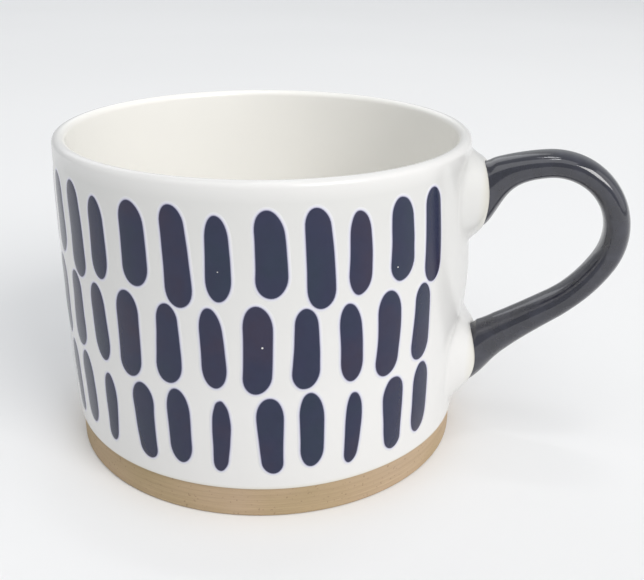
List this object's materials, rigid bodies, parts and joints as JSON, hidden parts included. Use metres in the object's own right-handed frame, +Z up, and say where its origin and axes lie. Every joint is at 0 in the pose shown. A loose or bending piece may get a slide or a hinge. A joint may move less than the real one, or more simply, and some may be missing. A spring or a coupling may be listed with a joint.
{
  "type": "mug",
  "caption": "Straight-sided stoneware mug with a looped strap handle, bare clay foot band, white glaze and rows of short dark painted strokes.",
  "frame": {"origin": "centre of the foot, on the surface the mug stands on", "axes": "+Z up along the cup's axis; +X towards the handle"},
  "size_m": [0.1278, 0.0936, 0.072],
  "materials": {
    "bare_clay": "unglazed, matte, faint wheel marks",
    "white_glaze": "glossy warm white",
    "dark_glaze": "glossy blue-black",
    "stroke_glaze": "glossy dark navy"
  },
  "bodies": {
    "root": {"cup_body": "bare_clay", "handle_core": "bare_clay", "upper_handle_joint": "bare_clay", "lower_handle_joint": "bare_clay", "outer_glaze": "white_glaze", "liner_glaze": "white_glaze", "handle_glaze": "dark_glaze", "upper_stroke_row": "stroke_glaze", "middle_stroke_row": "stroke_glaze", "lower_stroke_row": "stroke_glaze"}
  },
  "joints": []
}
